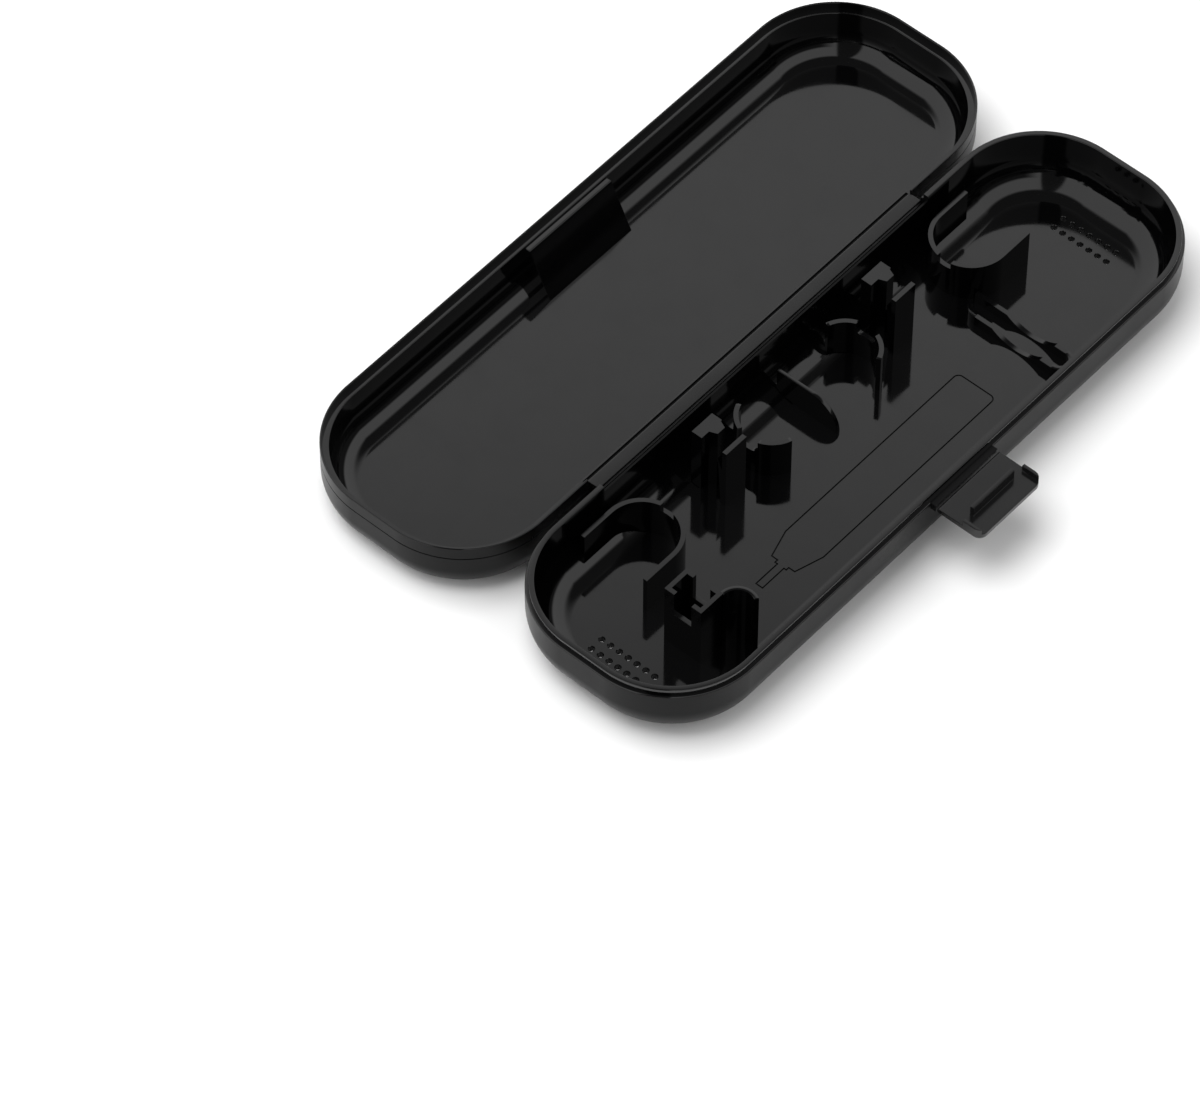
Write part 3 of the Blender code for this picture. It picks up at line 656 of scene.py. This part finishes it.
def handle_outline():
    """The outline from the end of the neck round the handle's foot and back."""
    one_side = [(MARK_X_END, MARK_HALF_NECK), (MARK_X_NECK, MARK_HALF_NECK),
                (MARK_X_NECK, MARK_HALF_STEP), (MARK_X_TAPER, MARK_HALF_STEP),
                (MARK_X_TAPER, MARK_HALF_TAPER), (MARK_X_SHOULDER, MARK_HALF_BODY)]
    one_side += arc((MARK_X_FAR - MARK_CORNER, MARK_HALF_BODY - MARK_CORNER), MARK_CORNER, 90, 0,
                    CORNER_POINTS)
    other_side = [(x, -y) for x, y in reversed(one_side)]
    return [(x, MARK_Y + y) for x, y in one_side + other_side]


# The groove's walls get painted shade.
cut(base, wall_along("handle_mark", handle_outline(), MARK_WIDTH, FLOOR - MARK_DEPTH, FLOOR + OVERRUN,
                     PAINTED_SHADE_BLACK, closed=True))
hand_over(base, "base", "base_shell", "shell")

# %% [markdown]
# ## The lid tray
# The lid mirrors the base: its lip has a step inside that goes over the tongue. Outside, a
# fine line runs round it below the rim, and its outer face has a shallow seat for the inlay.
# The scoop behind the flap is a slanted wall that is joined in and then hollowed out.

# %% Lid section and tray
BELT_FROM_RIM = 0.0043
BELT_WIDTH = 0.0004
BELT_DEPTH = 0.00025
PANEL_BORDER = 0.0130
PANEL_SEAT = 0.00105
belt_z = LID_RIM_Z + FIT_GAP / 2 - BELT_FROM_RIM
step_z = LID_RIM_Z - REBATE_DEPTH
outside = [(PANEL_BORDER, PANEL_SEAT), (PANEL_BORDER, EDGE_ROUND)]
outside += arc((PANEL_BORDER - EDGE_ROUND, EDGE_ROUND), EDGE_ROUND, 0, -90, EDGE_STEPS)[1:]
outside += arc((LID_FILLET, LID_FILLET), LID_FILLET, 270, 180, FILLET_STEPS)
outside += [(0.0, belt_z - BELT_WIDTH / 2), (BELT_DEPTH, belt_z - BELT_WIDTH / 4),
            (BELT_DEPTH, belt_z + BELT_WIDTH / 4), (0.0, belt_z + BELT_WIDTH / 2)]
outside += arc((EDGE_ROUND, LID_RIM_Z - EDGE_ROUND), EDGE_ROUND, 180, 90, EDGE_STEPS)
inside = arc((LIP - EDGE_ROUND, LID_RIM_Z - EDGE_ROUND), EDGE_ROUND, 90, 0, EDGE_STEPS)
inside += [(LIP, step_z)]
inside += arc((WALL - EDGE_ROUND, step_z - EDGE_ROUND), EDGE_ROUND, 90, 0, EDGE_STEPS)
inner_fillet = LID_FILLET - WALL
inside += arc((WALL + inner_fillet, FLOOR + inner_fillet), inner_fillet, 180, 270, FILLET_STEPS)
inside += [(LID_FILLET + FLAT_MARGIN, FLOOR)]
lid = swept_tray("lid_tray", outside + inside, LID_Y, (SATIN, POLISHED), len(outside) - EDGE_STEPS)
print("lid section has", len(outside + inside), "points")

# %% Scoop behind the flap, and the seat of the fold strip
SCOOP_HALF = 0.0150
SCOOP_WALL = 0.0014
SCOOP_FLOOR_IN = 0.0118
SCOOP_RIM_IN = 0.0045
HOOK_FROM_AXIS = 0.0067
joints = {joint["name"]: Vector(joint["pos_m"]) for joint in frame["joints"]}
CLOSED_HEIGHT = 2 * (LID_RIM_Z + FIT_GAP / 2)
CATCH_Z = CLOSED_HEIGHT - joints["latch_fold"].z - HOOK_FROM_AXIS + FIT_GAP


def on_scoop(height, offset=0.0):
    """How far out the scoop's slanted wall is at a height."""
    share = (height - FLOOR) / (step_z - FLOOR)
    return lid_high.y - SCOOP_FLOOR_IN + (SCOOP_FLOOR_IN - SCOOP_RIM_IN) * share + offset


wedge = [(on_scoop(FLOOR / 2), FLOOR / 2), (lid_high.y - LIP, FLOOR / 2),
         (lid_high.y - LIP, CATCH_Z + SCOOP_WALL), (on_scoop(step_z, SCOOP_WALL), step_z),
         (on_scoop(step_z), step_z)]
wedge = prism("scoop_wall", wedge, -SCOOP_HALF - SCOOP_WALL, SCOOP_HALF + SCOOP_WALL, SATIN, POLISHED,
              facing="X")
for face in wedge.data.polygons:
    face.material_index = 1
soften(wedge, EDGE_ROUND, FINE_STEPS)
shape = swept_tray("lid_shape", [point for point in outside if point[1] <= belt_z - BELT_WIDTH / 2]
                   + [(0.0, step_z), (LIP, step_z)], LID_Y, (SATIN, POLISHED))
cut(wedge, shape, "INTERSECT")
cut(lid, wedge, "UNION")
below = -OVERRUN
hollow = [(on_scoop(below, SCOOP_WALL), below), (lid_high.y + OVERRUN, below),
          (lid_high.y + OVERRUN, CATCH_Z), (on_scoop(CATCH_Z, SCOOP_WALL), CATCH_Z)]
cut(lid, prism("scoop_hollow", hollow, -SCOOP_HALF, SCOOP_HALF, SATIN, facing="X"))
cut(lid, box("lid_strip_seat", (strip_low.x - FIT_GAP, lid_low.y - OVERRUN, strip_low.z - FIT_GAP),
             (strip_high.x + FIT_GAP, lid_low.y + STRIP_SEAT, WIDTH), SATIN))
hand_over(lid, "lid", "lid_shell", "shell")

# %% [markdown]
# ## Inlay panel
# A thin plate with the case's own plan, drawn in, and a slightly rounded edge.

# %% Inlay panel
panel_low, panel_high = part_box("lid_inlay_panel")
border = panel_low.x + LENGTH / 2
PANEL_EDGE = 0.00015
section = [(border + PANEL_EDGE + FLAT_MARGIN, panel_low.z)]
section += arc((border + PANEL_EDGE, panel_low.z + PANEL_EDGE), PANEL_EDGE, 270, 180, FINE_STEPS)
section += [(border, panel_high.z)]
panel = swept_tray("inlay_panel", section, LID_Y, (TWILL,))
hand_over(panel, "lid", "lid_inlay_panel", "inlay")

# %% [markdown]
# ## Fold strip
# A strip lies between the trays, almost flush with their rims. Along each edge it thins to a
# film that bends about its fold line, and its ends are cut square.

# %% Fold strip
STRIP_STEPS = 8
STRIP_SHOULDER = 0.0002
STRIP_EDGE = 0.0002
fold_radius = joints["strip_fold"].z - strip_low.z
near_fold, far_fold = joints["strip_fold"], joints["lid_fold"]
profile = arc(near_fold.yz, fold_radius, 90, 270, STRIP_STEPS)
profile += arc(far_fold.yz, fold_radius, -90, 90, STRIP_STEPS)
profile += [(far_fold.y - STRIP_SHOULDER, far_fold.z + fold_radius),
            (far_fold.y - STRIP_SHOULDER, strip_high.z),
            (near_fold.y + STRIP_SHOULDER, strip_high.z),
            (near_fold.y + STRIP_SHOULDER, near_fold.z + fold_radius)]
strip = prism("fold_strip", profile, strip_low.x, strip_high.x, FOLD_SATIN, facing="X")
soften(strip, STRIP_EDGE)
hand_over(strip, "strip", "hinge_strip", "strip")

# %% [markdown]
# ## Latch flap
# A plate with a round root that turns on the shelf. A hook runs along it, and a raised lip
# at each end gives the finger something to lift. The plan's outer corners are round.

# %% Latch flap
FLAP_THICKNESS = 0.0015
FLAP_CORNER = 0.0025
HOOK_HALF = 0.0083
HOOK_THICKNESS = 0.0012
HOOK_RISE = 0.0031
FLAP_LIP = 0.0010
FLAP_LIP_LENGTH = 0.0062
FLAP_LIP_RISE = 0.0018
FLAP_EDGE = 0.00025
root = joints["latch_fold"]
flap_top = root.z + FLAP_THICKNESS / 2
profile = arc((root.y, root.z), FLAP_THICKNESS / 2, -90, 90, STRIP_STEPS)
profile += [(flap_low.y, flap_top), (flap_low.y, root.z - FLAP_THICKNESS / 2)]
flap = prism("latch_plate", profile, flap_low.x, flap_high.x, FOLD_SATIN, facing="X")
hook_y = root.y - HOOK_FROM_AXIS
cut(flap, box("flap_hook", (-HOOK_HALF, hook_y - HOOK_THICKNESS, root.z),
              (HOOK_HALF, hook_y, flap_top + HOOK_RISE), FOLD_SATIN), "UNION")
for x in (flap_low.x, flap_high.x - FLAP_LIP):
    lip_end = (x + FLAP_LIP, flap_low.y + FLAP_LIP_LENGTH, flap_top + FLAP_LIP_RISE)
    cut(flap, box("flap_lip", (x, flap_low.y, root.z), lip_end, FOLD_SATIN), "UNION")
far, near = flap_low.y + FLAP_CORNER, root.y + FLAP_THICKNESS
plan = [(flap_low.x, near),
        *arc((flap_low.x + FLAP_CORNER, far), FLAP_CORNER, 180, 270, STRIP_STEPS),
        *arc((flap_high.x - FLAP_CORNER, far), FLAP_CORNER, 270, 360, STRIP_STEPS),
        (flap_high.x, near)]
cut(flap, prism("flap_plan", plan, 0, 2 * root.z, FOLD_SATIN), "INTERSECT")
soften(flap, FLAP_EDGE)
hand_over(flap, "latch", "latch_flap", "shell")

# %% [markdown]
# ## Holders inside the base
# All holders are thin upright walls that grow out of the floor. Each one is made a little
# too long downwards and then trimmed by the room of the tray, drawn a touch into its walls,
# so that it meets the rounded floor without a gap.

# %% The room that trims them
SINK = 0.0002
RIB = 0.0013
RIB_EDGE = 0.00022
ARC_STEPS = 32
UNDER = -OVERRUN


def trimmed(piece):
    """Trims a holder to the room inside the base and rounds its edges a little."""
    room = [(BASE_FILLET + FLAT_MARGIN, FLOOR - SINK)]
    radius = BASE_FILLET - WALL
    room += arc((BASE_FILLET - SINK, BASE_FILLET - SINK), radius, 270, 180, FILLET_STEPS)
    room += [(WALL - SINK, CLOSED_HEIGHT)]
    cut(piece, swept_tray("room", room, 0.0, (RIB_POLISH,)), "INTERSECT")
    return soften(piece, RIB_EDGE)


# %% [markdown]
# A head pocket is a U that opens towards its end of the case, with a slot in its nose for
# the stem of the brush head.

# %% Head pockets
POCKET_RADIUS = 0.01065
STEM_SLOT_HALF = 0.00225
STEM_SLOT_SILL = 0.0125
for side, end in (("near", -1), ("far", 1)):
    low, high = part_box(side + "_head_pocket")
    y = (low.y + high.y) / 2
    nose = low.x + RIB / 2 if end > 0 else high.x - RIB / 2
    x = nose + end * POCKET_RADIUS
    mouth = high.x if end > 0 else low.x
    turn = arc((x, y), POCKET_RADIUS, 90, 90 + end * 180, ARC_STEPS)
    path = [(mouth, y + POCKET_RADIUS), *turn, (mouth, y - POCKET_RADIUS)]
    pocket = wall_along(side + "_pocket_wall", path, RIB, UNDER, high.z, RIB_POLISH)
    cut(pocket, box("stem_slot", (nose - RIB, y - STEM_SLOT_HALF, STEM_SLOT_SILL),
                    (nose + RIB, y + STEM_SLOT_HALF, CLOSED_HEIGHT), RIB_POLISH))
    hand_over(trimmed(pocket), "base", side + "_head_pocket", "ribs")

# %% [markdown]
# A stem cradle is two posts with a low web between them. The front post is a thin wall with
# a nub that the stem snaps past, and the back post has a leg whose plan narrows towards it.

# %% Stem cradles
FRONT_BAR = 0.0014
NUB_OUT = 0.0015
NUB_HEIGHT = 0.0038
BACK_BAR = 0.0034
FRONT_DEPTH = 0.0020
STEM_GAP = 0.0042
STEM_DIP = 0.0016
LEG_DEPTH = 0.0022
LEG_WIDTH = 0.0046
LEG_TIP_WIDTH = 0.0028
LEG_OFFSET = 0.0012
WEB_TOP = 0.0095
for side in ("near", "far"):
    low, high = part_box(side + "_stem_cradle")
    x = (low.x + high.x) / 2
    leg = x + LEG_OFFSET
    front = low.y + FRONT_BAR
    gap = low.y + FRONT_DEPTH
    tip = gap + STEM_GAP
    back = tip + LEG_DEPTH
    cradle = box(side + "_cradle_posts", (low.x, back, UNDER),
                 (high.x, back + BACK_BAR, high.z), RIB_POLISH)
    plan = [(leg - LEG_WIDTH / 2, back + BACK_BAR / 2), (leg - LEG_WIDTH / 2, back),
            (leg - LEG_TIP_WIDTH / 2, tip), (leg + LEG_TIP_WIDTH / 2, tip),
            (leg + LEG_WIDTH / 2, back), (leg + LEG_WIDTH / 2, back + BACK_BAR / 2)]
    cut(cradle, prism("leg", plan, UNDER, high.z, RIB_POLISH), "UNION")
    post = [(low.y, UNDER), (front, UNDER), (front, high.z - 2 * NUB_HEIGHT),
            (front + NUB_OUT, high.z - NUB_HEIGHT), (front, high.z), (low.y, high.z)]
    cut(cradle, prism("front_post", post, low.x, high.x, RIB_POLISH, facing="X"), "UNION")
    web = [(low.y + FRONT_BAR / 2, UNDER), (low.y + FRONT_BAR / 2, WEB_TOP)]
    web += arc((gap + STEM_GAP / 2, WEB_TOP), STEM_DIP, 180, 360, ARC_STEPS // 2)
    web += [(back - LEG_DEPTH / 2, WEB_TOP), (back - LEG_DEPTH / 2, UNDER)]
    cut(cradle, prism("web", web, leg - RIB / 2, leg + RIB / 2, RIB_POLISH, facing="X"), "UNION")
    hand_over(trimmed(cradle), "base", side + "_stem_cradle", "ribs")

# %% [markdown]
# Two ring clips face each other at the middle. Each is an arc of wall with a round notch in
# its top edge, where the collar of the brush head passes.

# %% Ring clips
CLIP_RADIUS = 0.0093
CLIP_SWEEP = 73
CLIP_NOTCH = 0.0065
CLIP_NOTCH_DEPTH = 0.0040
NOTCH_CORNER = CLIP_NOTCH / 4
for side, end in (("near", -1), ("far", 1)):
    low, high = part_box(side + "_ring_clip")
    y = (low.y + high.y) / 2
    wall_x = high.x - RIB / 2 if end > 0 else low.x + RIB / 2
    x = wall_x - end * CLIP_RADIUS
    middle = 0 if end > 0 else 180
    path = arc((x, y), CLIP_RADIUS, middle - CLIP_SWEEP, middle + CLIP_SWEEP, ARC_STEPS)
    clip = wall_along(side + "_clip_wall", path, RIB, UNDER, high.z, RIB_POLISH)
    bottom = high.z - CLIP_NOTCH_DEPTH + NOTCH_CORNER
    left, right = y - CLIP_NOTCH / 2, y + CLIP_NOTCH / 2
    notch = [(left, CLOSED_HEIGHT),
             *arc((left + NOTCH_CORNER, bottom), NOTCH_CORNER, 180, 270, CORNER_POINTS),
             *arc((right - NOTCH_CORNER, bottom), NOTCH_CORNER, 270, 360, CORNER_POINTS),
             (right, CLOSED_HEIGHT)]
    cut(clip, prism("notch", notch, wall_x - 2 * RIB, wall_x + 2 * RIB, RIB_POLISH, facing="X"))
    hand_over(trimmed(clip), "base", side + "_ring_clip", "ribs")

# %% [markdown]
# The middle rib is a plate across the case, rounded towards the latch.

# %% Middle rib
RIB_ROUND = 0.0090
low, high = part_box("middle_rib")
outline = [(low.y, UNDER),
           *arc((low.y + RIB_ROUND, high.z - RIB_ROUND), RIB_ROUND, 180, 90, ARC_STEPS // 2),
           (high.y, high.z), (high.y, UNDER)]
middle_rib = prism("middle_plate", outline, low.x, high.x, RIB_POLISH, facing="X")
hand_over(trimmed(middle_rib), "base", "middle_rib", "ribs")

# %% [markdown]
# The neck of the brush drops into a small box that is slotted from end to end, with a bent
# wall beside it. A low hairpin rib at the other end holds the foot of the handle.

# %% Neck bracket, its brace and the hairpin rib
BRACKET_SLOT_HALF = 0.0029
BRACKET_SLOT_SILL = 0.0150
low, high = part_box("neck_bracket")
middle = (low + high) / 2
bracket = box("neck_box", (low.x, low.y, UNDER), high, RIB_POLISH)
cut(bracket, box("neck_room", (low.x + RIB, low.y + RIB, 2 * UNDER),
                 (high.x - RIB, high.y - RIB, CLOSED_HEIGHT), RIB_POLISH))
cut(bracket, box("neck_slot", (low.x - RIB, middle.y - BRACKET_SLOT_HALF, BRACKET_SLOT_SILL),
                 (high.x + RIB, middle.y + BRACKET_SLOT_HALF, CLOSED_HEIGHT), RIB_POLISH))
hand_over(trimmed(bracket), "base", "neck_bracket", "ribs")

BRACE_RADIUS = 0.0052
BRACE_END = -30
side_y = low.y + RIB / 2
brace_low, brace_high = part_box("neck_brace")
path = [(high.x - RIB / 2, side_y),
        *arc((brace_low.x, side_y - BRACE_RADIUS), BRACE_RADIUS, 90, BRACE_END, ARC_STEPS)]
brace = wall_along("brace_wall", path, RIB, UNDER, brace_high.z, RIB_POLISH)
hand_over(trimmed(brace), "base", "neck_brace", "ribs")

# %% Hairpin rib
HAIRPIN_HALF = 0.0031
HOOK_Y = 0.0035
HOOK_RADIUS = 0.0045
HOOK_DEGREES = 60
HANDLE_RADIUS = 0.0135
HANDLE_Y = -0.0105
HANDLE_LOW = 0.0026
low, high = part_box("handle_hairpin_rib")
near_leg = low.x + RIB / 2
x = near_leg + HAIRPIN_HALF
path = arc((near_leg + HOOK_RADIUS, HOOK_Y), HOOK_RADIUS, 180 - HOOK_DEGREES, 180, ARC_STEPS // 2)
path += arc((x, low.y + RIB / 2 + HAIRPIN_HALF), HAIRPIN_HALF, 180, 360, ARC_STEPS)
path += [(x + HAIRPIN_HALF, high.y)]
hairpin = trimmed(wall_along("hairpin_wall", path, RIB, UNDER, high.z, RIB_POLISH))
handle = arc((HANDLE_Y, HANDLE_LOW + HANDLE_RADIUS), HANDLE_RADIUS, 0, 360, 6 * ARC_STEPS)[1:]
cut(hairpin, prism("handle_round", handle, low.x - RIB, high.x + RIB, RIB_POLISH, facing="X"))
hand_over(hairpin, "base", "handle_hairpin_rib", "ribs")

# %% [markdown]
# ## Table
# A plain pale floor, large enough to fill every view. It isn't part of the object.

# %% Table
TABLE_SIZE = 6.0
TABLE_WHITE = (0.86, 0.86, 0.86)
TABLE_ROUGHNESS = 0.9
TABLE_DROP = 0.0001
bm = bmesh.new()
bmesh.ops.create_grid(bm, x_segments=1, y_segments=1, size=TABLE_SIZE / 2)
bmesh.ops.translate(bm, vec=(0, 0, -TABLE_DROP), verts=bm.verts)
paper = start_finish("white_paper", TABLE_WHITE, TABLE_ROUGHNESS)[0]
new_piece("table", bm, paper)
print("table of", TABLE_SIZE, "m")

# %% Finish
print("scene ready")
